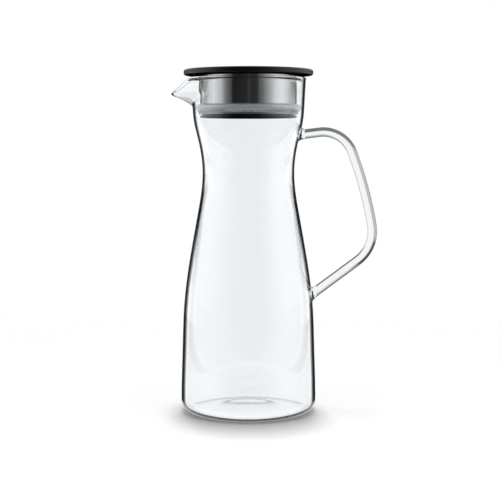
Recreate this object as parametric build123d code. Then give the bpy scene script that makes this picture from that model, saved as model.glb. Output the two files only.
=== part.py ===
from build123d import *
from math import acos, atan2, cos, degrees, radians, sin
import os

# A glass carafe for iced tea: a waisted jug with a pulled spout and a rod handle,
# closed by a round stopper that holds back ice and fruit and lifts out of the neck.
# Millimetres. Z is the jug's axis, it stands on z = 0, and the spout points to -X.

# Stopper, heights from the rim down
LID_THICKNESS = 4.2
LID_GAP = 1.8  # between the lid and the glass rim
STOPPER_DEPTH = 20.3  # from the rim to the top of the seal
SEAL_FALL = 1.0  # fall of the seal's top from the band to the lip
LIP_HEIGHT = 3.0  # outer face of the seal's lip
LIP_FOOT_HEIGHT = 2.7  # height of the slope under the lip
SEAL_BODY_HEIGHT = 1.3  # straight stretch under that slope
SEAL_SEAM = 0.7  # open seam between the seal and the bottom ring
RING_THICKNESS = 1.6

# Glass jug
WALL = 1.8  # glass thickness of the body, neck and spout
FLOOR = 3.0  # glass thickness of the base
BASE_R = 52.6  # largest outer radius, over the base corner
BASE_CORNER = 10.0  # outer radius of the corner between base and wall
FOOT_WIDTH = 12.6  # width of the flat ring that the jug stands on
PUSH_UP = 1.6  # height of the dome in the middle of the base
WAIST_R = 35.6  # outer radius of the waist
WAIST_Z = 186.0  # height of the waist
FLARE_HEIGHT = 48.0  # from the waist up to the straight neck
NECK_R = 43.0  # outer radius at the foot of the straight neck
RIM_SPREAD = 1.1  # how far the neck widens up to the rim
NECK_MARGIN = 0.7  # straight neck below the seal's lip
RIM_ROUND = 0.7  # fire-polished rounding of the rim's edges
ROUND_SHARE = 0.4  # largest share of the wall that this rounding takes
# The wall's curve: share of the height climbed, and share of the change in radius made
WALL_CURVE = [(0.218, 0.056), (0.448, 0.165), (0.649, 0.453), (0.822, 0.776)]
FLARE_CURVE = [(0.458, 0.351), (0.75, 0.797)]

# Spout
SPOUT_LENGTH = 16.3  # from the neck to the tip
SPOUT_ROOT = 0.7  # how far inside the neck's surface the spout's flanks start
KEEL_RISE = 8.5  # from the keel's root on the neck up to the tip
KEEL_CURVE = 1.37  # power of the keel's curve, where 1 is a straight keel
KEEL_DROP = 0.7  # the keel starts this far under the top of the seal's lip
TIP_DEPTH = 1.7  # height of the tip's blunt end
TIP_R = 3.0  # outer radius of the pinched tip, seen from above
SPOUT_STEPS = 5  # sections along the keel
FIRST_STEP = 0.3  # share of a step from the keel's root to the first section

# Handle, a bent glass rod
ROD_R = 3.75
HANDLE_DROP = 43.6  # from the rim to the upper foot
HANDLE_RISE = 7.2  # degrees that the upper arm climbs
HANDLE_ARM = 14.9  # straight upper arm, from the wall
UPPER_BEND_R = 24.0
UPPER_BEND = 76.3  # degrees
GRIP_R = 305.0  # slight bow of the grip
GRIP_BEND = 11.1  # degrees
LOWER_BEND_R = 28.0
LOWER_BEND = 63.1  # degrees
FOOT_FLARE = 1.5  # how much wider the rod is where it joins the wall
FLARE_LENGTH = 5.0  # length of that flare

# Stopper, radii and walls
LID_OVERHANG = 5.65  # how far the lid stands out past the rim
LID_TOP_ROUND = 1.3
LID_BOTTOM_ROUND = 1.0
LID_POCKET = 2.4  # depth of the pocket over the hollow stopper
LID_KEY = 1.2  # depth of the step that takes the shutter's top
POUR_GAP = 4.0  # between the neck's foot and the steel band, for the tea
BAND_WALL = 0.6
FRAME_WALL = 1.6
SEAT_DEPTH = 1.25  # how deep the seal's seat is cut into the frame
SHOULDER = 1.7  # width of the frame's shoulder under the shutter
SHUTTER_WALL = 1.6
SNAP_HEIGHT = 1.4  # snap bead round the shutter's foot
SNAP_DEPTH = 0.5
SNAP_LIFT = 0.4  # from the shutter's foot to the bead
SEAL_STEP = 1.0  # how far the seal's lower body stands out past the band
LIP_ROUND = 0.6  # rounding of the lip's edges
SPIGOT_HEIGHT = 2.2  # the bottom ring's spigot, inside the frame
SPIGOT_WALL = 1.4
BAR_WIDTH = 2.4  # crossed bars of the bottom ring
DISC_THICKNESS = 0.6  # steel strainer disc
HOLE_R = 1.2  # inscribed radius of the disc's six-sided holes
HOLE_PITCH = 4.4  # distance between rings of holes, and between holes
HOLE_SIDES = 6
HOLE_COUNT = 6  # holes in the ring round the middle hole

# Pouring window in the stopper, towards the spout
SLOT_COUNT = 5  # slots in the steel band
SLOT_WIDTH = 2.4
SLOT_PITCH = 3.6
SLOT_HEIGHT = 12.0
SLOT_LIFT = 6.0  # steel under the slots
WINDOW_MARGIN = 0.8  # how much larger the windows behind the slots are
WINDOW_CORNER = 1.5

# Clearances
LIP_GAP = 0.3  # seal's lip to the glass
SHUTTER_GAP = 0.3  # shutter to the frame round it
TURN_GAP = 0.3  # over and under what turns
PUSH_FIT = 0.05  # radial gap of pieces pushed together

# Heights that follow
NECK_HEIGHT = STOPPER_DEPTH + SEAL_FALL + LIP_HEIGHT + NECK_MARGIN
NECK_Z = WAIST_Z + FLARE_HEIGHT
RIM_Z = NECK_Z + NECK_HEIGHT
LID_Z = RIM_Z + LID_GAP
SEAL_Z = RIM_Z - STOPPER_DEPTH
LIP_TOP_Z = SEAL_Z - SEAL_FALL
LIP_BOTTOM_Z = LIP_TOP_Z - LIP_HEIGHT
SEAL_BODY_Z = LIP_BOTTOM_Z - LIP_FOOT_HEIGHT
SEAL_BOTTOM_Z = SEAL_BODY_Z - SEAL_BODY_HEIGHT
RING_TOP_Z = SEAL_BOTTOM_Z - SEAL_SEAM
RING_Z = RING_TOP_Z - RING_THICKNESS
FRAME_TOP_Z = LID_Z - TURN_GAP
SHOULDER_Z = SEAL_Z + FRAME_WALL
SHUTTER_Z = SHOULDER_Z + TURN_GAP
SNAP_Z = SHUTTER_Z + SNAP_LIFT
SLOT_Z = SEAL_Z + SLOT_LIFT + SLOT_HEIGHT / 2
KEEL_Z = LIP_TOP_Z - KEEL_DROP
TIP_Z = KEEL_Z + KEEL_RISE
HANDLE_Z = RIM_Z - HANDLE_DROP

# Radii that follow
RIM_R = NECK_R + RIM_SPREAD
LID_R = RIM_R + LID_OVERHANG
BAND_R = NECK_R - WALL - POUR_GAP
FOOT_R = BASE_R - BASE_CORNER
DOME_R = FOOT_R - FOOT_WIDTH
FRAME_R = BAND_R - BAND_WALL - PUSH_FIT
FRAME_BORE_R = FRAME_R - FRAME_WALL
SHOULDER_R = FRAME_BORE_R - SHOULDER
SHUTTER_R = FRAME_BORE_R - SHUTTER_GAP
SHUTTER_BORE_R = SHUTTER_R - SHUTTER_WALL
SEAT_R = FRAME_R - SEAT_DEPTH
SPIGOT_R = SHOULDER_R - PUSH_FIT
DISC_R = SPIGOT_R - SPIGOT_WALL - PUSH_FIT


def neck_radius(z):
    """Outer radius of the straight neck at height z."""
    return NECK_R + RIM_SPREAD * (z - NECK_Z) / NECK_HEIGHT


SPOUT_REACH = neck_radius(KEEL_Z) + SPOUT_LENGTH
LIP_R = neck_radius(LIP_BOTTOM_Z) - WALL - LIP_GAP


def path(*points):
    """Straight lines through points."""
    return Polyline(*points)


def revolved(*lines):
    """The solid that a closed outline in the XZ plane makes round the axis."""
    return revolve(Plane.XZ * make_face(lines), Axis.Z)


def tube(inner_r, outer_r, low_z, high_z):
    """Upright round tube on the axis."""
    return revolved(
        path((inner_r, low_z), (outer_r, low_z), (outer_r, high_z), (inner_r, high_z), (inner_r, low_z))
    )


def wall_line(inset):
    """The wall's curve from the base corner to the foot of the neck, moved in by inset."""
    climb = WAIST_Z - BASE_CORNER
    body = [(BASE_R + b * (WAIST_R - BASE_R), BASE_CORNER + a * climb) for a, b in WALL_CURVE]
    flare = [(WAIST_R + b * (NECK_R - WAIST_R), WAIST_Z + a * FLARE_HEIGHT) for a, b in FLARE_CURVE]
    stations = [(BASE_R, BASE_CORNER), *body, (WAIST_R, WAIST_Z), *flare, (NECK_R, NECK_Z)]
    points = [(r - inset, z) for r, z in stations]
    return Spline(*points, tangents=[(0, 1), (RIM_SPREAD, NECK_HEIGHT)])


def jug_form(inset=0, floor_z=0, top_z=RIM_Z):
    """The filled form of the jug, or with inset and floor_z its cavity, cut level at top_z."""
    base_r = BASE_R - inset
    corner = BASE_CORNER - floor_z
    return revolved(
        Spline((0, floor_z + PUSH_UP), (DOME_R, floor_z), tangents=[(1, 0), (1, 0)]),
        Line((DOME_R, floor_z), (base_r - corner, floor_z)),
        RadiusArc((base_r - corner, floor_z), (base_r, BASE_CORNER), -corner),
        wall_line(inset),
        path(
            (NECK_R - inset, NECK_Z),
            (neck_radius(top_z) - inset, top_z),
            (0, top_z),
            (0, floor_z + PUSH_UP),
        ),
    )


def spout_section(z, back_r, reach, tip_r):
    """Teardrop at height z: a round back in the neck, two tangent walls and a round tip."""
    tip_x = reach - tip_r
    turn = acos((back_r - tip_r) / tip_x)
    back_x, back_y = -back_r * cos(turn), back_r * sin(turn)
    end_x, end_y = -tip_x - tip_r * cos(turn), tip_r * sin(turn)
    outline = [
        ThreePointArc((back_x, back_y), (back_r, 0), (back_x, -back_y)),
        Line((back_x, -back_y), (end_x, -end_y)),
        ThreePointArc((end_x, -end_y), (-reach, 0), (end_x, end_y)),
        Line((end_x, end_y), (back_x, back_y)),
    ]
    return Pos(0, 0, z) * make_face(outline)


def spout_form(inset, lift, top_z):
    """The spout's outer form up to top_z, or with inset and lift the channel inside it."""
    sunk = inset + SPOUT_ROOT
    root_r = neck_radius(KEEL_Z)
    keel = []
    for step in range(SPOUT_STEPS):
        share = (step + FIRST_STEP) / (SPOUT_STEPS - 1 + FIRST_STEP)
        z = KEEL_Z + share * KEEL_RISE + lift
        reach = root_r + share**KEEL_CURVE * SPOUT_LENGTH - inset
        keel.append(spout_section(z, neck_radius(z) - sunk, reach, TIP_R - inset))
    top = spout_section(top_z, neck_radius(top_z) - sunk, SPOUT_REACH - inset, TIP_R - inset)
    return loft(keel) + loft([keel[-1], top], ruled=True)


def above_spout():
    """The block over the spout's slanted edge."""
    fall = atan2(RIM_Z - TIP_Z - TIP_DEPTH, SPOUT_REACH - RIM_R)
    size = 3 * SPOUT_REACH
    block = Pos(0, 0, size / 2) * Box(size, size, size)
    return Pos(-RIM_R, 0, RIM_Z) * Rot(0, -degrees(fall), 0) * block


def rim_edges(glass):
    """Edges of the rim and of the spout's slanted edge, without the crease between the two."""
    tops = [face for face in glass.faces().filter_by(GeomType.PLANE) if face.center().Z > TIP_Z]
    return [edge for face in tops for edge in face.edges().filter_by(Axis.Y, reverse=True)]


def glass_body():
    """Jug with its neck, pulled spout and rounded rim."""
    keel_angle = atan2(KEEL_RISE, SPOUT_LENGTH)
    lift = WALL * (1 - sin(keel_angle)) / cos(keel_angle)
    over_rim = RIM_Z + WALL
    outside = jug_form() + spout_form(0, 0, RIM_Z)
    hollow = jug_form(WALL, FLOOR, over_rim) + spout_form(WALL, lift, over_rim)
    glass = outside - hollow - above_spout()
    return fillet(rim_edges(glass), min(RIM_ROUND, ROUND_SHARE * WALL))


def turned(direction, turn):
    """A direction in the XZ plane turned clockwise by degrees."""
    angle = atan2(direction[1], direction[0]) - radians(turn)
    return (cos(angle), sin(angle))


def handle_line(jug):
    """The rod's axis from inside the upper foot, round the bends and down into the jug."""
    heading = turned((1, 0), -HANDLE_RISE)
    wall_point = (jug & Line((0, 0, HANDLE_Z), (BASE_R, 0, HANDLE_Z))) @ 1
    start = (wall_point.X, HANDLE_Z)
    root = (start[0] - ROD_R * heading[0], start[1] - ROD_R * heading[1])
    knee = (start[0] + HANDLE_ARM * heading[0], start[1] + HANDLE_ARM * heading[1])
    line = [Line(root, knee)]
    for bend_r, bend in ((UPPER_BEND_R, UPPER_BEND), (GRIP_R, GRIP_BEND), (LOWER_BEND_R, LOWER_BEND)):
        line.append(JernArc(line[-1] @ 1, heading, bend_r, -bend))
        heading = turned(heading, bend)
    corner = line[-1] @ 1
    reach = -corner.X / heading[0]
    end = (corner.X + reach * heading[0], corner.Y + reach * heading[1])
    line.append(Line(corner, end))
    return [Plane.XZ * part for part in line]


def foot_flare(jug, arm):
    """The widened foot of the rod where its straight arm meets the wall."""
    inside = jug & arm
    wall_point = inside @ 1 if (inside @ 0 - arm @ 0).length < ROD_R else inside @ 0
    outward = arm % 1 if (wall_point - arm @ 0).length < ROD_R * 2 else -(arm % 0)
    wide = ROD_R + FOOT_FLARE
    flare = revolved(
        path((0, FLARE_LENGTH), (0, -ROD_R), (wide, -ROD_R), (wide, 0)),
        TangentArc((ROD_R, FLARE_LENGTH), (wide, 0), tangent=(0, -1)),
        Line((ROD_R, FLARE_LENGTH), (0, FLARE_LENGTH)),
    )
    return Plane(origin=wall_point, z_dir=outward) * flare


def glass_handle():
    """Bent rod whose two flared feet meet the jug's wall."""
    jug = jug_form()
    line = handle_line(jug)
    section = Plane(origin=line[0] @ 0, z_dir=line[0] % 0) * Circle(ROD_R)
    rod = sweep(section, path=Wire(line))
    return rod + foot_flare(jug, line[0]) + foot_flare(jug, line[-1]) - jug


def lid_cap():
    """Round lid with soft edges and a stepped pocket over the hollow stopper."""
    key_r = SHUTTER_R + PUSH_FIT
    top_z = LID_Z + LID_THICKNESS
    lid = revolved(
        path(
            (0, LID_Z + LID_POCKET),
            (SHUTTER_BORE_R, LID_Z + LID_POCKET),
            (SHUTTER_BORE_R, LID_Z + LID_KEY),
            (key_r, LID_Z + LID_KEY),
            (key_r, LID_Z),
            (LID_R, LID_Z),
            (LID_R, top_z),
            (0, top_z),
            (0, LID_Z + LID_POCKET),
        )
    )
    rounds = lid.edges().filter_by(GeomType.CIRCLE).filter_by(lambda edge: edge.radius > LID_R - PUSH_FIT)
    lid = fillet(rounds.sort_by(Axis.Z)[-1], LID_TOP_ROUND)
    rounds = lid.edges().filter_by(GeomType.CIRCLE).filter_by(lambda edge: edge.radius > LID_R - PUSH_FIT)
    return fillet(rounds.sort_by(Axis.Z)[0], LID_BOTTOM_ROUND)


def window(radius, margin):
    """The cutter for a window to the spout in a tube, larger than the slots by margin."""
    width = (SLOT_COUNT - 1) * SLOT_PITCH + SLOT_WIDTH + 2 * margin
    outline = RectangleRounded(SLOT_HEIGHT + 2 * margin, width, WINDOW_CORNER)
    return Pos(-radius, 0, SLOT_Z) * Rot(0, 90, 0) * extrude(outline, FRAME_WALL * 2, both=True)


def shutter_sleeve():
    """Tube under the lid that turns with it and opens or closes the pouring window."""
    snap_r = SHUTTER_R + SNAP_DEPTH
    sleeve = tube(SHUTTER_BORE_R, SHUTTER_R, SHUTTER_Z, LID_Z + LID_KEY)
    snap = revolved(
        path(
            (SHUTTER_BORE_R, SNAP_Z),
            (SHUTTER_R, SNAP_Z),
            (snap_r, SNAP_Z + SNAP_DEPTH),
            (snap_r, SNAP_Z + SNAP_HEIGHT - SNAP_DEPTH / 2),
            (SHUTTER_R, SNAP_Z + SNAP_HEIGHT),
            (SHUTTER_BORE_R, SNAP_Z + SNAP_HEIGHT),
            (SHUTTER_BORE_R, SNAP_Z),
        )
    )
    return sleeve + snap - window(SHUTTER_R, WINDOW_MARGIN)


def strainer_frame():
    """Moulded tube that carries the band and the seal, with a groove for the snap bead."""
    frame = revolved(
        path(
            (SHOULDER_R, RING_TOP_Z),
            (SEAT_R, RING_TOP_Z),
            (SEAT_R, SEAL_Z),
            (FRAME_R, SEAL_Z),
            (FRAME_R, FRAME_TOP_Z),
            (FRAME_BORE_R, FRAME_TOP_Z),
            (FRAME_BORE_R, SHOULDER_Z),
            (SHOULDER_R, SHOULDER_Z),
            (SHOULDER_R, RING_TOP_Z),
        )
    )
    groove_r = SHUTTER_R + SNAP_DEPTH + SHUTTER_GAP
    groove = tube(SHOULDER_R, groove_r, SNAP_Z - TURN_GAP, SNAP_Z + SNAP_HEIGHT + TURN_GAP)
    return frame - groove - window(FRAME_R, WINDOW_MARGIN)


def steel_band():
    """Thin polished tube round the frame, with upright slots towards the spout."""
    band = tube(BAND_R - BAND_WALL, BAND_R, SEAL_Z, FRAME_TOP_Z)
    slot = extrude(SlotOverall(SLOT_HEIGHT, SLOT_WIDTH), BAND_WALL * 2, both=True)
    for number in range(SLOT_COUNT):
        angle = degrees((number - (SLOT_COUNT - 1) / 2) * SLOT_PITCH / BAND_R)
        band -= Rot(0, 0, angle) * Pos(-BAND_R, 0, SLOT_Z) * Rot(0, 90, 0) * slot
    return band


def seal_ring():
    """Silicone ring in the frame's seat, with a lip that closes the neck under the spout."""
    inner_r = SEAT_R + PUSH_FIT
    body_r = BAND_R + SEAL_STEP
    seal = revolved(
        path(
            (inner_r, SEAL_BOTTOM_Z),
            (body_r, SEAL_BOTTOM_Z),
            (body_r, SEAL_BODY_Z),
            (LIP_R, LIP_BOTTOM_Z),
            (LIP_R, LIP_TOP_Z),
            (BAND_R, SEAL_Z),
            (inner_r, SEAL_Z),
            (inner_r, SEAL_BOTTOM_Z),
        )
    )
    lip = seal.edges().filter_by(GeomType.CIRCLE).filter_by(lambda edge: edge.radius > LIP_R - PUSH_FIT)
    return fillet(lip, LIP_ROUND)


def retaining_ring():
    """Bottom ring with a spigot in the frame and two crossed bars under the strainer disc."""
    ring = tube(DISC_R - SPIGOT_WALL, BAND_R, RING_Z, RING_TOP_Z)
    spigot = tube(SPIGOT_R - SPIGOT_WALL, SPIGOT_R, RING_TOP_Z, RING_TOP_Z + SPIGOT_HEIGHT)
    bar = Pos(0, 0, RING_Z + RING_THICKNESS / 2) * Box(2 * DISC_R, BAR_WIDTH, RING_THICKNESS)
    return ring + spigot + bar + Rot(0, 0, 90) * bar


def strainer_disc():
    """Perforated steel disc that lies on the bottom ring, inside its spigot."""
    disc = Pos(0, 0, RING_TOP_Z) * extrude(Circle(DISC_R), DISC_THICKNESS)
    rings = int((DISC_R - SPIGOT_WALL - HOLE_R) / HOLE_PITCH)
    spots = [(0, 0)]
    for ring in range(1, rings + 1):
        count = HOLE_COUNT * ring
        spots += [(ring * HOLE_PITCH, 360 * number / count) for number in range(count)]
    hole = Pos(0, 0, RING_TOP_Z) * RegularPolygon(HOLE_R, HOLE_SIDES, major_radius=False)
    holes = [Rot(0, 0, angle) * Pos(radius, 0, 0) * hole for radius, angle in spots]
    return disc - extrude(Sketch() + holes, DISC_THICKNESS)


def main():
    os.makedirs("parts", exist_ok=True)
    for piece in (
        glass_body,
        glass_handle,
        lid_cap,
        shutter_sleeve,
        strainer_frame,
        steel_band,
        seal_ring,
        retaining_ring,
        strainer_disc,
    ):
        export_step(piece(), f"parts/{piece.__name__}.step")


main()
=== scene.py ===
from math import atan2, cos, pi, radians, sin

import bmesh
import bpy
import numpy as np
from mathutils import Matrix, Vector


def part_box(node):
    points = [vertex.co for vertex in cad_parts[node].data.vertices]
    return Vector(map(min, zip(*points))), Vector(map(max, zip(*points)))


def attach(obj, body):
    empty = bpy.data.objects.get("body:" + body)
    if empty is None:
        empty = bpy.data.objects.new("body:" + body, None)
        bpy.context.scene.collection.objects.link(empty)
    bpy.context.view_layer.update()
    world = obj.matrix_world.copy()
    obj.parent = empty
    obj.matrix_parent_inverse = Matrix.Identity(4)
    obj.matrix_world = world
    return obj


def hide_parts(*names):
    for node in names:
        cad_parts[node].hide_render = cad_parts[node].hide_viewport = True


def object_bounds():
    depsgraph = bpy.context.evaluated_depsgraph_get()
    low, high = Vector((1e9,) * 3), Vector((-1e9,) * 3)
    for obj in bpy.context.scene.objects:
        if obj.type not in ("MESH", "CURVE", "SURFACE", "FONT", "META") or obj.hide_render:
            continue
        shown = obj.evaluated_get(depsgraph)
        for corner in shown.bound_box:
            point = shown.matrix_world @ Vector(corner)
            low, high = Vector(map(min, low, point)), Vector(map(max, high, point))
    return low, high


# Looks of the glass iced tea carafe: one fused glass piece for the jug and its handle,
# finishes for the lid, stopper and seal, and a white studio. Metres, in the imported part's frame.

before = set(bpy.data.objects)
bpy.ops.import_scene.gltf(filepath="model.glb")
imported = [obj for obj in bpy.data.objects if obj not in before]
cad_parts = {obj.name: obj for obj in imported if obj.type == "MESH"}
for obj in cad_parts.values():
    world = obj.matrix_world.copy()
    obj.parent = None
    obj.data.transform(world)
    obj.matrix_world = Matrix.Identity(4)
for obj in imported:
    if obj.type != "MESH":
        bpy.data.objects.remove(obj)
solid_low, solid_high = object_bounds()

jug_low, jug_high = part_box("glass_body")

# Jug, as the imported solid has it
WALL = 0.0018
FLOOR = 0.003
BASE_R = jug_high.y
BASE_CORNER = 0.010
FOOT_RING = 0.0126  # width of the flat ring that the jug stands on
DOME_R = BASE_R - BASE_CORNER - FOOT_RING
PUSH_UP = 0.0016  # how far the middle of the base is pushed up
WAIST_R = 0.0356
WAIST_Z = 0.186
NECK_R = 0.043
NECK_Z = 0.234
NECK_TAPER = 0.0011  # how much wider the neck is at the rim
RIM_Z = jug_high.z
RIM_R = NECK_R + NECK_TAPER
RIM_BEAD = 0.0003  # swelling of the fire-polished rim
BEAD_FADE = 0.0014  # how far down the neck the swelling dies away

# Points of the wall between its ends: share of the way up, and of the way in or out
WALL_CURVE = [(0.218, 0.056), (0.448, 0.165), (0.649, 0.453), (0.822, 0.776)]
FLARE_CURVE = [(0.458, 0.351), (0.75, 0.797)]

# Spout, from above a teardrop: a round tip with straight flanks
SPOUT_REACH = -jug_low.x
SPOUT_ROOT = 0.0007  # how far its round back lies inside the neck
KEEL_Z = 0.237  # where its keel leaves the neck
KEEL_RISE = 0.0085  # from there up to the tip
KEEL_CURVE = 1.37
TIP_DEPTH = 0.0017  # from the keel's end up to the lip
TIP_R = 0.003
FLANK_BLEND = 0.0014  # how far the flanks melt into the neck
TIP_BLEND = 0.004  # how far the keel's end melts into the tip
EDGE_BLEND = 0.003  # where the level rim turns into the spout's slanted edge
LEAST_LENGTH = 0.000001  # these two keep the teardrop's formulas from dividing by zero
LEAST_COSINE = 0.1

# Handle, a bent rod
ROD_R = 0.00375
HANDLE_DROP = 0.0436  # from the rim down to the middle of the upper foot
HANDLE_Z = RIM_Z - HANDLE_DROP
HANDLE_RISE = radians(7.2)
HANDLE_ARM = 0.0149
HANDLE_BENDS = [(0.024, 76.3), (0.305, 11.1), (0.028, 63.1)]  # radius, and degrees turned
FOOT_FLARE = 0.0015
FLARE_LENGTH = 0.005

# Mesh of the jug and the rod
HALF_COLUMNS = 120
COLUMN_CROWDING = 1.7  # columns crowd towards the spout
DOME_ROWS = 14
RING_ROWS = 6
CORNER_ROWS = 16
WALL_ROWS = 90
SPOUT_ROWS = 64
SPOUT_MARGIN = 0.002  # how far under the keel these rows begin
RIM_ROWS = 12
ROD_SIDES = 64
ROD_STEP = 0.001  # between rings of the rod
LEAST_STEPS = 2
LEAST_BEND_STEPS = 6
FIT_STEP = 0.00001  # how finely the rod's end is brought to the wall
SLIDE_LIMIT = 0.02  # how far a foot's points may slide to reach the wall
SLIDE_HALVINGS = 40
SLIDE_FADE = 2.6 * FLARE_LENGTH  # along the rod, where its rings are square again
SLIDE_POWER = 1.5

# Camera, from the ellipses of lid, rim and base in the photograph
CAMERA_DISTANCE = 0.970
CAMERA_HEIGHT = 0.2082
CAMERA_SIDE = 0.0012
CAMERA_PITCH = 4.84
LENS = 90.1
SENSOR = 36
NEAREST, FURTHEST = 0.01, 50

# Glass, and the stops of its dark edges, which are painted shade for the dark surroundings that real glass
# refracts there: 0 where it is seen square on, 1 along its surface
GLASS_IOR = 1.47
GLASS_TINT = (0.968, 0.985, 0.995)
WALL_SHADE = 0.8  # light that each skin lets through to the floor
ROD_SHADE = 0.93
WALL_EDGE_SHADE = [
    (0.65, GLASS_TINT),
    (0.665, (0.2, 0.22, 0.25)),
    (0.69, (0.06, 0.067, 0.08)),
    (0.71, 0.003),
    (1.0, 0.0003),
]
ROD_EDGE_SHADE = [(0.3, GLASS_TINT), (0.45, (0.6, 0.61, 0.63)), (1.0, (0.3, 0.31, 0.33))]
FOOT_EDGE_SHADE = [(0.6, GLASS_TINT), (0.85, (0.4, 0.42, 0.42)), (1.0, 0.1)]
OUTER_SKIN, INNER_SKIN, ROD_SKIN, FOOT_SKIN = range(4)  # the order of its materials

# How much sooner the wall's painted dark edge starts where the wall curves in, by share of the rim's height
EDGE_SHIFT = 0.03
CURVED_WALL = [(0.1, 0.0), (0.3, 0.3), (0.45, 1.0), (0.72, 1.0), (0.81, 0.0)]

# Where the wall is left without its painted edge shade and stays clear, with the start and end of each fade
TURNED_UNDER = 0.2, 0.6  # into clear, by how far the surface faces down
WALL_REACH = 0.022  # across the wall beside a foot of the rod
BESIDE_FOOT = 0.6, 1.0  # out of clear, by share of that reach
AT_FOOT = 0.75, 1.0  # out of clear, up and down from the foot by share of its radius

# Painted dark bands of the rod, for the dark surroundings that a real rod refracts: from 0, clear, to 1, as
# dark as they get
PAINTED_BAND_TONES = [(0.0, 1.0), (0.4, (0.26, 0.28, 0.295)), (1.0, 0.002)]
ARM_BAND = 0.93
GRIP_BAND = 0.4
ARM_EDGE = 0.4  # share of their darkness that the edges keep on the arm
CORNER_Z = 0.124  # middle of the lower bend, and how far its dark band reaches up and down
CORNER_SPAN = 0.016
FOOT_REACH = 0.0032  # from the wall to where the rod's darker edges start

# Start and end of each painted band's fade, the first five by which way the surface faces
FACES_UP = 0.1, 0.3
FACES_OUT = 0.12, 0.28
FACES_OUT_AND_DOWN = 0.3, 0.6
FACES_ASIDE = 0.15, 0.35
LIES_DOWN = 0.35, 0.6
ON_ARM = 0.89, 0.96  # by share of the upper foot's height
NEAR_CORNER = 0.5, 1.0  # by share of the corner's span
OFF_MIDDLE = 0.015, 0.06  # this and the next by how far it is seen along its surface
AT_EDGE = 0.24, 0.36

# Finishes
CLOUD_SPAN = 0.3, 0.7  # values of a cloud at its darkest and at its lightest tone
PLASTIC_BLACK = (0.0025, 0.0025, 0.003)
PLASTIC_CLOUD = 0.85, 1.15  # its darkest and lightest share of that colour
PLASTIC_ROUGHNESS = 0.32
GRAIN_ROUGHNESS = 0.12  # difference between the grain's smoothest and roughest
PLASTIC_GLOSS = [(0.1, 0.0), (0.4, 0.45)]  # from 0 where it faces straight down to 1 where it faces aside: painted shade that keeps the lid's underside dark
STEEL_DULL = (0.60, 0.60, 0.59)
STEEL_BRIGHT = (0.68, 0.68, 0.67)
STEEL_GRAZING_SHADE = [(0.3, 1.0), (0.52, 0.72), (0.72, 0.55)]  # painted shade: darker where it is seen along its surface
STEEL_ROUGHNESS = 0.06
MARK_ROUGHNESS = 0.08  # what the roughest rolling marks add
ROLLING = (12, 12, 900)  # the marks are long round the band and narrow up it
# The darker lower lip and foot tones are painted shade beneath the seal's upper lip
SILICONE_UPPER = (0.68, 0.72, 0.73)
SILICONE_SHADED_LOWER = (0.08, 0.105, 0.13)
SILICONE_SHADED_FOOT = (0.222, 0.2445, 0.267)
SILICONE_TONES = [
    (0.05, SILICONE_SHADED_FOOT),
    (0.2, SILICONE_SHADED_LOWER),
    (0.38, SILICONE_SHADED_LOWER),
    (0.66, SILICONE_UPPER),
]
MOTTLING = 0.1  # how far a cloud shifts those tones, as a share of the ring's height
SHARP_ANGLE = 30

# Light
WHITE = (1, 1, 1, 1)
AMBIENT = 0.245
FLOOR_TONE = 0.98
FLOOR_R = 0.75
FLOOR_SIDES = 96
FLOOR_DROP = 0.0001  # below the foot of the jug
FLOOR_FADE = [(0.35, 0.0), (0.8, 1.0)]  # into the background, by share of the floor's radius
BASE_FADE = [(0.06, 0.0), (0.08, 1.0)]  # in reflections, outward from plain floor to the soft boxes' tones painted on it

# Lamps: name, place, width and depth in metres, and power in watts
LAMPS = [
    ("left_box", (-1.1, -0.9, 0.5), (1.5, 1.5), 3.6),
    ("right_box", (1.1, -0.9, 0.5), (1.5, 1.5), 3.6),
    ("top_box", (0, 0.19, 3.0), (0.25, 0.7), 66),
]

# Studio round the carafe as its gloss shows it: degrees from the camera's side, and brightness
STUDIO_TONES = [
    (-180, 0.8),
    (-169, 0.8),
    (-163, 0.02),
    (-147, 0.05),
    (-143, 0.5),
    (-138, 0.85),
    (-120, 0.8),
    (-106, 0.88),
    (-91, 0.96),
    (-78, 0.76),
    (-67, 0.64),
    (-56, 0.24),
    (-46, 0.12),
    (-39.5, 0.08),
    (-38.5, 0.012),
    (-3, 0.025),
    (2, 0.05),
    (6, 0.025),
    (22, 0.03),
    (24, 0.1),
    (32, 0.15),
    (42, 0.31),
    (53, 0.5),
    (64, 0.78),
    (75, 0.94),
    (88, 0.95),
    (120, 0.8),
    (138, 0.85),
    (143, 0.5),
    (147, 0.05),
    (163, 0.02),
    (169, 0.8),
]
TONE_PEAK = 1.25
GLEAM_R = 0.97 * BASE_R  # how far off its axis the carafe's sides mirror the floor

# Gain of those tones under the horizon and on the floor, where they are a painted reflection, by share of
# the half turn from the camera
LOW_GAIN = [(0.25, 0.72), (0.56, 0.72), (0.69, 1.3), (0.78, 1.5)]
FLOOR_GAIN = [(0.25, 0.72), (0.5, 0.55), (0.58, 0.55), (0.63, 0.68), (0.7, 0.68), (0.78, 1.0)]
UNDER_HORIZON = 0.97, 1.0  # LOW_GAIN's fade, by one more than the height of the direction

# Backdrop behind the carafe: where it shows, by share of the half turn and by height, and its tone
BEHIND = 0.6, 0.75
BACKDROP_SPAN = [(0.03, 0.0), (0.045, 1.0), (0.6, 1.0), (0.8, 0.0)]
BACKDROP_TONES = [(0.09, 0.03), (0.12, 0.74)]


def smooth_max(a, b, width):
    """The larger of a and b, melted together where they differ by less than width."""
    share = np.maximum(width - np.abs(a - b), 0) / width
    return np.maximum(a, b) + share**2 * width / 4


def smooth_min(a, b, width):
    """The smaller of a and b, melted together where they differ by less than width."""
    return -smooth_max(-a, -b, width)


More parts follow.
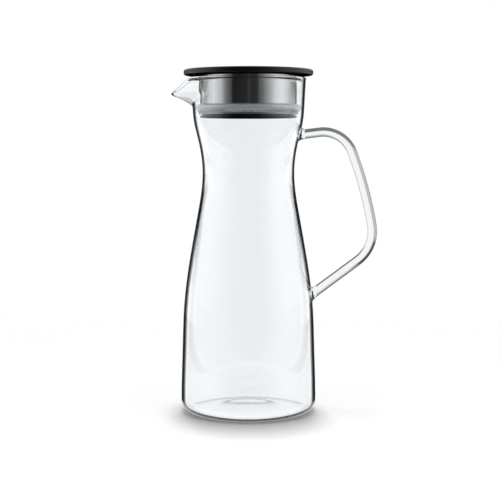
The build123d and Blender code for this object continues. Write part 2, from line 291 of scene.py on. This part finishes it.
def smooth_curve(knots, values, first_slope, last_slope):
    """A function through values at knots, as smooth as a bent batten, with its end slopes given."""
    knots, values = np.array(knots), np.array(values)
    step, rise = np.diff(knots), np.diff(values)
    count = len(knots)
    matrix, right = np.eye(count), np.zeros(count)
    right[0], right[-1] = first_slope, last_slope
    for i in range(1, count - 1):
        matrix[i, i - 1] = 1 / step[i - 1]
        matrix[i, i] = 2 * (1 / step[i - 1] + 1 / step[i])
        matrix[i, i + 1] = 1 / step[i]
        right[i] = 3 * (rise[i - 1] / step[i - 1] ** 2 + rise[i] / step[i] ** 2)
    slopes = np.linalg.solve(matrix, right)

    def curve(x):
        """The function's value at x."""
        i = np.clip(np.searchsorted(knots, x) - 1, 0, count - 2)
        t = (x - knots[i]) / step[i]
        start = values[i] * (1 + 2 * t) * (1 - t) ** 2 + slopes[i] * step[i] * t * (1 - t) ** 2
        end = values[i + 1] * t**2 * (3 - 2 * t) + slopes[i + 1] * step[i] * t**2 * (t - 1)
        return start + end

    return curve


def wall_curve():
    """The jug's outer radius as a function of height, from the base corner to the neck's foot."""
    climb = WAIST_Z - BASE_CORNER
    flare = NECK_Z - WAIST_Z
    points = [(BASE_CORNER, BASE_R)]
    points += [(BASE_CORNER + a * climb, BASE_R + b * (WAIST_R - BASE_R)) for a, b in WALL_CURVE]
    points += [(WAIST_Z, WAIST_R)]
    points += [(WAIST_Z + a * flare, WAIST_R + b * (NECK_R - WAIST_R)) for a, b in FLARE_CURVE]
    points += [(NECK_Z, NECK_R)]
    heights, radii = zip(*points)
    return smooth_curve(heights, radii, 0, NECK_TAPER / (RIM_Z - NECK_Z))


lower_wall = wall_curve()


def neck_radius(z):
    """Outer radius of the straight neck, or of its line carried on above or below."""
    return NECK_R + NECK_TAPER * (z - NECK_Z) / (RIM_Z - NECK_Z)


def wall_radius(z):
    """The jug's outer radius at height z, away from the spout."""
    return np.where(z < NECK_Z, lower_wall(np.minimum(z, NECK_Z)), neck_radius(z))


def spout_radius(turn, z, inset, lift):
    """Radius of the spout's teardrop in the direction turned from the spout, at height z."""
    climb = (z - KEEL_Z - lift) / KEEL_RISE
    keel = np.where(climb > 0, np.abs(climb) ** KEEL_CURVE, climb)
    root = neck_radius(KEEL_Z)
    reach = smooth_min(root + keel * (SPOUT_REACH - root), SPOUT_REACH, TIP_BLEND) - inset
    back = neck_radius(z) - SPOUT_ROOT - inset
    tip = TIP_R - inset
    centre = np.maximum(reach - tip, LEAST_LENGTH)
    lean = np.arccos(np.clip((back - tip) / centre, -1, 1))
    tip_turn = np.arctan2(tip * np.sin(lean), centre + tip * np.cos(lean))
    across = centre * np.sin(turn)
    round_tip = centre * np.cos(turn) + np.sqrt(np.maximum(tip**2 - across**2, 0))
    flank = back / np.maximum(np.cos(lean - turn), LEAST_COSINE)
    radius = np.where(turn < tip_turn, round_tip, np.where(turn < lean, flank, back))
    return np.where(reach < back, reach, radius)


def jug_radius(turn, z, inset, lift):
    """Radius of the jug with its spout, as an outer form or, with inset and lift, its inside."""
    return smooth_max(wall_radius(z) - inset, spout_radius(turn, z, inset, lift), FLANK_BLEND)


def edge_height(ahead):
    """Height of the rim's top at a distance ahead of the axis: level, then down along the spout."""
    fall = (RIM_Z - KEEL_Z - KEEL_RISE - TIP_DEPTH) / (SPOUT_REACH - RIM_R)
    return RIM_Z - fall * smooth_max(ahead - RIM_R, np.zeros_like(ahead), EDGE_BLEND)


def dome(share, floor_z):
    """Height of the pushed-up middle of the base, from its centre at 0 to its edge at 1."""
    return floor_z + PUSH_UP * (1 - share**2 * (3 - 2 * share))


def shares(count):
    """Even steps up to 1, without the 0 that they start from."""
    return np.linspace(0, 1, count + 1)[1:]


def base_rows(inset, floor_z):
    """Radius and height along the base from its middle to the wall, without the middle point."""
    rows = [(share * DOME_R, dome(share, floor_z)) for share in shares(DOME_ROWS)]
    corner = BASE_CORNER - floor_z
    foot = BASE_R - inset - corner
    rows += [(DOME_R + share * (foot - DOME_R), floor_z) for share in shares(RING_ROWS)]
    for angle in np.linspace(0, pi / 2, CORNER_ROWS + 1)[1:]:
        rows.append((foot + corner * sin(angle), BASE_CORNER - corner * cos(angle)))
    return rows


def jug_rows(turn):
    """Radius and height of the skin's rows, from under the base, over the rim, to the floor inside."""
    keel_angle = atan2(KEEL_RISE, SPOUT_REACH - neck_radius(KEEL_Z))
    lift = WALL * (1 - sin(keel_angle)) / cos(keel_angle)
    spout_low = KEEL_Z - SPOUT_MARGIN
    level = np.ones_like(turn)

    def side(inset, lift, start_z):
        """Rows up one side of the wall."""
        rows = [(level * r, level * z) for r, z in base_rows(inset, start_z)]
        for z in np.linspace(BASE_CORNER, spout_low, WALL_ROWS + 1)[1:]:
            rows.append((level * (wall_radius(z) - inset), level * z))
        top_r = jug_radius(turn, level * RIM_Z, inset, lift)
        top_z = edge_height(top_r * np.cos(turn)) - WALL / 2
        for share in shares(SPOUT_ROWS):
            z = spout_low + share * (top_z - spout_low)
            bead = RIM_BEAD * np.exp(-(((top_z - z) / BEAD_FADE) ** 2))
            rows.append((jug_radius(turn, z, inset, lift) + (-bead if inset else bead), z))
        return rows

    outside, inside = side(0, 0, 0), side(WALL, lift, FLOOR)
    outer_r, inner_r = outside[-1][0], inside[-1][0]
    rim = []
    for angle in np.linspace(0, pi, RIM_ROWS + 1)[1:-1]:
        radius = (outer_r + inner_r) / 2 + (outer_r - inner_r) / 2 * cos(angle)
        rim.append((radius, edge_height(radius * np.cos(turn)) - WALL / 2 * (1 - sin(angle))))
    return outside + rim + inside[::-1]


def link(data, name):
    """An object in the scene that holds the data."""
    thing = bpy.data.objects.new(name, data)
    bpy.context.scene.collection.objects.link(thing)
    return thing


def closed_skin(name, points, rings, sides, first_pole, last_pole, materials):
    """A closed mesh of rings of points, with a fan to a pole at each end."""
    faces = []
    for ring in range(rings - 1):
        for side in range(sides):
            a, b = ring * sides + side, ring * sides + (side + 1) % sides
            faces.append((a, b, b + sides, a + sides))
    low, high = len(points), len(points) + 1
    for side in range(sides):
        faces.append((low, (side + 1) % sides, side))
        faces.append((high, (rings - 1) * sides + side, (rings - 1) * sides + (side + 1) % sides))
    mesh = bpy.data.meshes.new(name)
    mesh.from_pydata([*map(tuple, points), first_pole, last_pole], [], faces)
    for material in materials:
        mesh.materials.append(material)
    made = bmesh.new()
    made.from_mesh(mesh)
    bmesh.ops.recalc_face_normals(made, faces=made.faces)
    made.to_mesh(mesh)
    made.free()
    mesh.shade_smooth()
    return link(mesh, name)


def jug_mesh(materials):
    """The jug without its handle, as one closed skin."""
    share = np.linspace(-1, 1, 2 * HALF_COLUMNS + 1)[:-1]
    angle = np.sign(share) * pi * np.abs(share) ** COLUMN_CROWDING
    rows = jug_rows(np.abs(angle))
    points = []
    for radius, z in rows:
        points += list(zip(-radius * np.cos(angle), radius * np.sin(angle), z))
    poles = (0, 0, PUSH_UP), (0, 0, FLOOR + PUSH_UP)
    jug = closed_skin("glass", points, len(rows), len(angle), *poles, materials)
    sides, middle = len(angle), len(rows) // 2
    for place, face in enumerate(jug.data.polygons):
        ring = place // sides
        # The two fans come last and take turns, the one under the base first
        lines_inside = ring >= middle and (ring < len(rows) - 1 or place % 2)
        face.material_index = INNER_SKIN if lines_inside else OUTER_SKIN
    return jug


def rod_line():
    """Points and headings of the rod's axis in the XZ plane, from the upper foot round to the lower."""
    points = [np.array([float(wall_radius(HANDLE_Z)), HANDLE_Z])]
    heading = HANDLE_RISE
    headings = [heading]

    def walk(length):
        """Straight on along the heading."""
        steps = max(LEAST_STEPS, round(length / ROD_STEP))
        for _ in range(steps):
            points.append(points[-1] + length / steps * np.array([cos(heading), sin(heading)]))
            headings.append(heading)

    walk(HANDLE_ARM)
    for bend_r, bend in HANDLE_BENDS:
        bend = radians(bend)
        steps = max(LEAST_BEND_STEPS, round(bend_r * bend / ROD_STEP))
        side = np.array([sin(heading), -cos(heading)])
        centre = points[-1] + bend_r * side
        for step in range(1, steps + 1):
            turned = heading - bend * step / steps
            points.append(centre - bend_r * np.array([sin(turned), -cos(turned)]))
            headings.append(turned)
        heading -= bend
    length = 0
    while points[-1][0] + length * cos(heading) > wall_radius(points[-1][1] + length * sin(heading)):
        length += FIT_STEP
    walk(length)
    return np.array(points), np.array(headings)


def foot_heights():
    """Heights at which the rod's axis meets the wall, upper foot first."""
    line, _ = rod_line()
    return float(line[0][1]), float(line[-1][1])


def foot_slide(point, along, offsets):
    """How far each point round a foot slides along the rod to lie on the jug's wall."""
    slides = []
    for offset in offsets:
        low, high = -SLIDE_LIMIT, SLIDE_LIMIT
        for _ in range(SLIDE_HALVINGS):
            middle = (low + high) / 2
            x, y, z = point + offset + middle * along
            if np.hypot(x, y) > wall_radius(z):
                high = middle
            else:
                low = middle
        slides.append(low)
    return np.array(slides)


def rod_mesh(materials):
    """The bent rod, with feet that widen towards the wall and end inside its thickness."""
    line, headings = rod_line()
    away = np.concatenate([[0], np.cumsum(np.hypot(*np.diff(line, axis=0).T))])
    round_angle = np.linspace(0, 2 * pi, ROD_SIDES + 1)[:-1]
    points = []
    centres = []

    def section(index, radius, out):
        """Middle of a section, its points round that middle, and the direction away from its foot."""
        heading = headings[index]
        centre = np.array([line[index][0], 0, line[index][1]])
        normal = np.array([-sin(heading), 0, cos(heading)])
        across = np.array([0, 1, 0])
        offsets = [radius * (cos(a) * normal + sin(a) * across) for a in round_angle]
        return centre, offsets, out * np.array([cos(heading), 0, sin(heading)])

    def ring(index, distance, out, sink=0.0):
        """One ring at a distance from its foot, sunk towards the wall."""
        share = min(max(distance / FLARE_LENGTH, 0), 1)
        radius = ROD_R + FOOT_FLARE * (1 - np.sqrt(1 - (1 - share) ** 2))
        centre, offsets, direction = section(index, radius, out)
        fade = max(0.0, 1 - distance / SLIDE_FADE) ** SLIDE_POWER
        slides = fade * feet[out] - sink
        points.extend(centre + o + s * direction for o, s in zip(offsets, slides))
        centres.append(centre)

    feet = {}
    for out, index in ((1, 0), (-1, -1)):
        centre, offsets, along = section(index, ROD_R + FOOT_FLARE, out)
        feet[out] = foot_slide(centre, along, offsets)

    half = len(line) // 2
    ring(0, 0, 1, sink=WALL / 2)
    for index in range(half):
        ring(index, away[index], 1)
    for index in range(half, len(line)):
        ring(index, away[-1] - away[index], -1)
    ring(len(line) - 1, 0, -1, sink=WALL / 2)
    rings = len(points) // ROD_SIDES
    first = centres[0] - np.array([WALL / 2, 0, 0])
    last = centres[-1] - np.array([WALL / 2, 0, 0])
    rod = closed_skin("rod", points, rings, ROD_SIDES, tuple(first), tuple(last), materials)
    for face in rod.data.polygons:
        near = any(
            face.center.x < foot[0] + FOOT_REACH and abs(face.center.z - foot[1]) < 2 * ROD_R
            for foot in (line[0], line[-1])
        )
        face.material_index = FOOT_SKIN if near else ROD_SKIN
    return rod


def fused(jug, rod):
    """The jug and its rod as one closed piece of glass."""
    union = jug.modifiers.new("fuse", "BOOLEAN")
    union.operation = "UNION"
    union.solver = "EXACT"
    union.object = rod
    seen = bpy.context.evaluated_depsgraph_get()
    mesh = bpy.data.meshes.new_from_object(jug.evaluated_get(seen))
    jug.modifiers.clear()
    jug.data = mesh
    mesh.shade_smooth()
    bpy.data.objects.remove(rod)
    return jug


class Nodes:
    """A short way to build a node tree."""

    def __init__(self, owner):
        owner.use_nodes = True
        self.tree = owner.node_tree
        self.tree.nodes.clear()

    def add(self, kind, **settings):
        """A node with its settings, where inputs holds a value or a link for each input."""
        node = self.tree.nodes.new(kind)
        inputs = settings.pop("inputs", {})
        for name, value in settings.items():
            setattr(node, name, value)
        for name, value in inputs.items():
            if isinstance(value, bpy.types.NodeSocket):
                self.tree.links.new(value, node.inputs[name])
            else:
                node.inputs[name].default_value = value
        return node

    def show(self, surface, output="ShaderNodeOutputMaterial"):
        """Ends the tree with the shader that is seen."""
        self.add(output, inputs={"Surface": surface})

    def math(self, operation, *values):
        """The outcome of a sum, a comparison or the like."""
        inputs = dict(enumerate(values))
        return self.add("ShaderNodeMath", operation=operation, inputs=inputs).outputs[0]

    def ramp(self, factor, stops, interpolation="LINEAR"):
        """A tone by factor, from stops that each have a place and a colour or a grey."""
        node = self.add("ShaderNodeValToRGB", inputs={0: factor})
        node.color_ramp.interpolation = interpolation
        elements = node.color_ramp.elements
        while len(elements) < len(stops):
            elements.new(0.5)
        for element, (place, colour) in zip(elements, stops):
            element.position = place
            element.color = (*colour, 1) if isinstance(colour, tuple) else (colour,) * 3 + (1,)
        return node.outputs[0]

    def rise(self, factor, start, end):
        """From 0 at start to 1 at end."""
        return self.ramp(factor, [(start, 0.0), (end, 1.0)])

    def fall(self, factor, start, end):
        """From 1 at start to 0 at end."""
        return self.ramp(factor, [(start, 1.0), (end, 0.0)])

    def mix(self, share, first, second, blend="MIX"):
        """The first colour, blended by share with the second."""
        inputs = {0: share, 6: first, 7: second}
        return self.add("ShaderNodeMix", data_type="RGBA", blend_type=blend, inputs=inputs).outputs[2]

    def mix_shader(self, share, first, second):
        """The first shader, replaced by share with the second."""
        return self.add("ShaderNodeMixShader", inputs={0: share, 1: first, 2: second}).outputs[0]

    def glow(self, kind, colour, strength):
        """A shader of its own light, for a surface or a world."""
        return self.add(kind, inputs={"Color": colour, "Strength": strength}).outputs[0]

    def principled(self, **inputs):
        """The general surface, by its inputs' names with underscores for spaces."""
        named = {name.replace("_", " "): value for name, value in inputs.items()}
        return self.add("ShaderNodeBsdfPrincipled", inputs=named)

    def place(self):
        """Where the shaded point is on its object."""
        return self.add("ShaderNodeTexCoord").outputs["Object"]

    def axes(self, vector):
        """The parts of a vector, by the names X, Y and Z."""
        return self.add("ShaderNodeSeparateXYZ", inputs={0: vector}).outputs

    def length(self, vector):
        """How long a vector is."""
        return self.add("ShaderNodeVectorMath", operation="LENGTH", inputs={0: vector}).outputs["Value"]

    def normal(self):
        """The parts of the direction that the surface faces."""
        return self.axes(self.add("ShaderNodeNewGeometry").outputs["Normal"])

    def facing(self):
        """0 where the surface is seen square on, 1 where it is seen along its length."""
        return self.add("ShaderNodeLayerWeight", inputs={"Blend": 0.5}).outputs["Facing"]

    def noise(self, place, scale, detail):
        """A cloud of values between 0 and 1."""
        inputs = {"Vector": place, "Scale": scale, "Detail": detail}
        return self.add("ShaderNodeTexNoise", inputs=inputs).outputs["Fac"]

    def rays(self):
        """What kind of ray sees the surface, and how often it has bounced."""
        return self.add("ShaderNodeLightPath").outputs

    def bounced(self, way):
        """1 for rays that have bounced in that way."""
        return self.math("GREATER_THAN", self.rays()[way + " Depth"], 0.5)

    def unscattered(self):
        """1 for rays that have met no matt surface."""
        return self.math("LESS_THAN", self.rays()["Diffuse Depth"], 0.5)

    def background_rays(self):
        """1 for the camera, glossy and transmission rays that see the white background directly."""
        rays = self.rays()
        either = self.math("MAXIMUM", rays["Is Camera Ray"], rays["Is Glossy Ray"])
        any_of = self.math("MAXIMUM", either, rays["Is Transmission Ray"])
        return self.math("MULTIPLY", any_of, self.unscattered())


def new_material(name):
    """A material and its empty node tree."""
    material = bpy.data.materials.new(name)
    return material, Nodes(material)


def glass_material(name, shade, edge=None, shift=None, painted=None, spared=None):
    """Clear glass, darkened by the stops of edge where it is seen along its surface, which is painted shade
    for its dark edges.

    The last three are functions that add nodes: shift moves the stops, painted adds more painted shade to
    the glass, and spared says where it is left clear.
    """
    material, n = new_material(name)
    clear = n.principled(Base_Color=(*GLASS_TINT, 1), Roughness=0.0, IOR=GLASS_IOR, Transmission_Weight=1.0)
    if edge:
        facing = n.facing()
        if shift:
            facing = n.math("ADD", facing, shift(n))
        # Painted shade: the glass darkens where it is seen along its surface
        tint = n.ramp(facing, [(0.0, GLASS_TINT), *edge])
        if painted:
            tint = n.mix(1.0, tint, painted(n), "MULTIPLY")
        if spared:
            tint = n.mix(spared(n), tint, (*GLASS_TINT, 1))
        n.tree.links.new(tint, clear.inputs["Base Color"])
    shadow = n.add("ShaderNodeBsdfTransparent", inputs={"Color": (shade, shade, shade, 1)})
    is_shadow = n.math("MAXIMUM", n.rays()["Is Shadow Ray"], n.bounced("Diffuse"))
    n.show(n.mix_shader(is_shadow, clear.outputs[0], shadow.outputs[0]))
    return material


def painted_rod_shade(n):
    """Painted shade that darkens the rod, by height and by the way its surface faces, for the dark
    surroundings that a real rod refracts.

    It has dark edges where it lies down, dark bands over its arm and under its lower corner, and a
    grey one down the grip.
    """
    normal, height, facing = n.normal(), n.axes(n.place())["Z"], n.facing()
    on_arm = n.rise(n.math("DIVIDE", height, HANDLE_Z), *ON_ARM)
    above = n.rise(normal["Z"], *FACES_UP)
    arm = n.math("MULTIPLY", n.math("MULTIPLY", on_arm, above), ARM_BAND)

    off_corner = n.math("DIVIDE", n.math("SUBTRACT", height, CORNER_Z), CORNER_SPAN)
    near_corner = n.fall(n.math("ABSOLUTE", off_corner), *NEAR_CORNER)
    below = n.rise(n.math("SUBTRACT", normal["X"], normal["Z"]), *FACES_OUT_AND_DOWN)
    corner = n.math("MULTIPLY", near_corner, below)

    grip = n.math("MULTIPLY", n.rise(normal["X"], *FACES_OUT), GRIP_BAND)

    sideways = n.rise(n.math("ABSOLUTE", normal["Y"]), *FACES_ASIDE)
    off_middle = n.rise(facing, *OFF_MIDDLE)
    band = n.math("MAXIMUM", n.math("MAXIMUM", arm, corner), grip)
    band = n.math("MULTIPLY", band, n.math("MULTIPLY", sideways, off_middle))

    lying = n.rise(n.math("ABSOLUTE", normal["Z"]), *LIES_DOWN)
    edge = n.math("MULTIPLY", lying, n.rise(facing, *AT_EDGE))
    edge = n.math("MULTIPLY", edge, n.ramp(on_arm, [(0.0, 1.0), (1.0, ARM_EDGE)]))
    # Painted shade: these tones darken the rod's glass
    return n.ramp(n.math("MAXIMUM", band, edge), PAINTED_BAND_TONES)


def wall_shift(n):
    """How much sooner the wall's painted dark edge starts where the wall curves in, by height."""
    share = n.math("DIVIDE", n.axes(n.place())["Z"], RIM_Z)
    return n.math("MULTIPLY", n.ramp(share, CURVED_WALL), EDGE_SHIFT)


def spared_light(n):
    """Where the jug is left without its painted edge shade: where its base corner turns under, and beside
    the rod's feet.
    """
    place = n.axes(n.place())
    spared = n.rise(n.math("MULTIPLY", n.normal()["Z"], -1.0), *TURNED_UNDER)
    off_plane = n.math("DIVIDE", n.math("ABSOLUTE", place["Y"]), WALL_REACH)
    right_half = n.math("GREATER_THAN", place["X"], 0.0)
    handle_side = n.math("MULTIPLY", right_half, n.fall(off_plane, *BESIDE_FOOT))
    for height in foot_heights():
        off_foot = n.math("ABSOLUTE", n.math("SUBTRACT", place["Z"], height))
        at_foot = n.fall(n.math("DIVIDE", off_foot, ROD_R + FOOT_FLARE), *AT_FOOT)
        spared = n.math("MAXIMUM", spared, n.math("MULTIPLY", at_foot, handle_side))
    return spared


def grain(n, scale, depth):
    """The fine grain of a moulded surface, and the bump that it gives."""
    fine = n.noise(n.place(), scale, detail=4)
    bump = n.add("ShaderNodeBump", inputs={"Strength": 0.5, "Distance": depth, "Height": fine})
    return fine, bump.outputs[0]


def plastic_material(name):
    """Black moulded plastic with a fine matte grain, and no gloss on what faces down, as painted shade
    under the lid.
    """
    material, n = new_material(name)
    fine, bump = grain(n, scale=1800, depth=0.00003)
    cloud = n.noise(n.place(), scale=60, detail=3)
    colours = [tuple(c * share for c in PLASTIC_BLACK) for share in PLASTIC_CLOUD]
    shade = n.ramp(cloud, list(zip(CLOUD_SPAN, colours)))
    rough = n.math("MULTIPLY_ADD", fine, GRAIN_ROUGHNESS, PLASTIC_ROUGHNESS - GRAIN_ROUGHNESS / 2)
    # Painted shade: gloss fades out on faces that look down
    gloss = n.ramp(n.math("ADD", n.normal()["Z"], 1.0), PLASTIC_GLOSS)
    surface = n.principled(Base_Color=shade, Roughness=rough, Normal=bump, Specular_IOR_Level=gloss)
    n.show(surface.outputs[0])
    return material


def steel_material(name):
    """Polished stainless steel with faint rolling marks round the axis, and painted shade where it is seen
    along its surface.
    """
    material, n = new_material(name)
    stretched = n.add("ShaderNodeMapping", inputs={"Vector": n.place(), "Scale": ROLLING}).outputs[0]
    marks = n.noise(stretched, scale=3, detail=3)
    tone = n.ramp(marks, list(zip(CLOUD_SPAN, (STEEL_DULL, STEEL_BRIGHT))))
    # Painted shade: the steel darkens where it is seen along its surface
    shade = n.mix(1.0, tone, n.ramp(n.facing(), STEEL_GRAZING_SHADE), "MULTIPLY")
    rough = n.math("MULTIPLY_ADD", marks, MARK_ROUGHNESS, STEEL_ROUGHNESS)
    n.show(n.principled(Base_Color=shade, Metallic=1.0, Roughness=rough).outputs[0])
    return material


def silicone_material(name):
    """Grey silicone with a soft gloss, lighter in its upper lip than in its lower one, where the darker
    tones are painted shade.
    """
    material, n = new_material(name)
    _, bump = grain(n, scale=900, depth=0.000005)
    low, high = (corner.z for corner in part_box("seal_ring"))
    place = n.place()
    share = n.math("DIVIDE", n.math("SUBTRACT", n.axes(place)["Z"], low), high - low)
    cloud = n.noise(place, scale=90, detail=3)
    mottled = n.math("ADD", share, n.math("MULTIPLY", cloud, MOTTLING))
    # Painted shade: the lower part of the seal takes darker tones
    surface = n.principled(
        Base_Color=n.ramp(mottled, SILICONE_TONES),
        Roughness=0.25,
        Normal=bump,
        IOR=1.9,
        Specular_IOR_Level=1.0,
        Coat_Weight=1.0,
        Coat_Roughness=0.2,
    )
    n.show(surface.outputs[0])
    return material


def dress(node, material):
    """Gives a CAD node its finish."""
    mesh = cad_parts[node].data
    mesh.materials.clear()
    mesh.materials.append(material)
    mesh.shade_smooth()
    mesh.set_sharp_from_angle(angle=radians(SHARP_ANGLE))


def mirrored_turn(n, turn, away):
    """Direction of the rays that run from the carafe's side to a place on the floor."""
    lag = n.math("ARCSINE", n.math("MINIMUM", n.math("DIVIDE", GLEAM_R, away), 1.0))
    ahead = n.math("ADD", n.math("ABSOLUTE", turn), lag)
    return n.math("MULTIPLY", n.math("SIGN", turn), n.math("MINIMUM", ahead, pi))


def studio_tones(n, direction, on_floor=False):
    """Tones of the studio's soft boxes and of the dark gap between them.

    They go by direction or, on the floor, where they are a painted reflection, by place.
    """
    axes = n.axes(direction)
    turn = n.math("ARCTAN2", axes["X"], n.math("MULTIPLY", axes["Y"], -1.0))
    if on_floor:
        turn = mirrored_turn(n, turn, n.length(direction))
    share = n.math("MULTIPLY_ADD", turn, 1 / (2 * pi), 0.5)
    tones = n.ramp(share, [((angle + 180) / 360, tone) for angle, tone in STUDIO_TONES])
    half_turn = n.math("ABSOLUTE", n.math("MULTIPLY", turn, 1 / pi))
    low = 1.0 if on_floor else n.fall(n.math("ADD", axes["Z"], 1.0), *UNDER_HORIZON)
    gain = n.ramp(half_turn, FLOOR_GAIN if on_floor else LOW_GAIN)
    tones = n.mix(low, tones, gain, "MULTIPLY")
    seen = n.math("MULTIPLY", n.rise(half_turn, *BEHIND), n.ramp(axes["Z"], BACKDROP_SPAN))
    return n.mix(seen, tones, n.ramp(axes["Z"], BACKDROP_TONES))


def studio_floor():
    """A plain white floor: it shows the carafe's shadow, and fades into the background; in reflections near
    the carafe it glows with the soft boxes' tones, a painted reflection.
    """
    bpy.ops.mesh.primitive_circle_add(
        vertices=FLOOR_SIDES, radius=FLOOR_R, fill_type="NGON", location=(0, 0, -FLOOR_DROP)
    )
    floor = bpy.context.object
    floor.name = "studio_floor"
    material, n = new_material("white_floor")
    place = n.place()
    away = n.length(place)
    unscattered, rays = n.unscattered(), n.rays()
    fade = n.ramp(n.math("DIVIDE", away, FLOOR_R), FLOOR_FADE, "EASE")
    by_glass = n.math("MAXIMUM", rays["Is Transmission Ray"], rays["Is Glossy Ray"])
    through = n.math("MULTIPLY", by_glass, unscattered)
    lit = n.add("ShaderNodeBsdfDiffuse", inputs={"Color": (FLOOR_TONE, FLOOR_TONE, FLOOR_TONE, 1)})
    far = n.glow("ShaderNodeEmission", WHITE, n.math("MAXIMUM", unscattered, AMBIENT))
    plain = n.mix_shader(n.math("MAXIMUM", fade, through), lit.outputs[0], far)
    # Painted reflection: the floor glows with the soft boxes' tones, seen only by glossy rays
    boxes = n.glow("ShaderNodeEmission", studio_tones(n, place, on_floor=True), TONE_PEAK)
    in_gloss = n.math("MULTIPLY", n.bounced("Glossy"), unscattered)
    in_gloss = n.math("MULTIPLY", in_gloss, n.ramp(away, BASE_FADE, "EASE"))
    n.show(n.mix_shader(in_gloss, plain, boxes))
    floor.data.materials.append(material)


def studio_world():
    """White all round, with the studio's soft boxes and the dark gap between them in reflections."""
    world = bpy.data.worlds.new("studio")
    bpy.context.scene.world = world
    n = Nodes(world)
    direction = n.add("ShaderNodeTexCoord").outputs["Generated"]
    white = n.glow("ShaderNodeBackground", WHITE, 1.0)
    boxes = n.glow("ShaderNodeBackground", studio_tones(n, direction), TONE_PEAK)
    ambient = n.glow("ShaderNodeBackground", WHITE, AMBIENT)
    behind = n.mix_shader(n.bounced("Glossy"), white, boxes)
    n.show(n.mix_shader(n.background_rays(), ambient, behind), "ShaderNodeOutputWorld")


def soft_lamp(name, place, size, power):
    """A large area lamp aimed at the carafe's middle."""
    data = bpy.data.lights.new(name, "AREA")
    data.shape = "RECTANGLE"
    data.size, data.size_y = size
    data.energy = power
    lamp = link(data, name)
    lamp.location = place
    target = (solid_low + solid_high) / 2
    lamp.rotation_euler = (target - lamp.location).to_track_quat("-Z", "Y").to_euler()
    lamp.visible_glossy = False
    lamp.visible_transmission = False


def camera():
    """The photograph's camera, in front of the carafe and a little above its middle."""
    data = bpy.data.cameras.new("camera")
    data.lens = LENS
    data.sensor_width = SENSOR
    data.clip_start, data.clip_end = NEAREST, FURTHEST
    thing = link(data, "camera")
    thing.location = (CAMERA_SIDE, -CAMERA_DISTANCE, CAMERA_HEIGHT)
    thing.rotation_euler = (radians(90 - CAMERA_PITCH), 0, 0)
    bpy.context.scene.camera = thing


camera()
studio_floor()
studio_world()
for lamp in LAMPS:
    soft_lamp(*lamp)
bpy.context.scene.view_settings.view_transform = "Standard"

# The dark edges of the glass and the rod's dark bands are painted shade
glass_materials = [
    glass_material("clear_glass", WALL_SHADE, WALL_EDGE_SHADE, shift=wall_shift, spared=spared_light),
    glass_material("clear_inside", WALL_SHADE),
    glass_material("clear_rod", ROD_SHADE, ROD_EDGE_SHADE, painted=painted_rod_shade),
    glass_material("clear_foot", ROD_SHADE, FOOT_EDGE_SHADE),
]
glass = fused(jug_mesh(glass_materials), rod_mesh(glass_materials))
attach(glass, "jug")
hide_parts("glass_body", "glass_handle")

black = plastic_material("matte_black")
for name in ("lid_cap", "shutter_sleeve", "strainer_frame", "retaining_ring"):
    dress(name, black)
steel = steel_material("polished_steel")
for name in ("steel_band", "strainer_disc"):
    dress(name, steel)
dress("seal_ring", silicone_material("grey_silicone"))
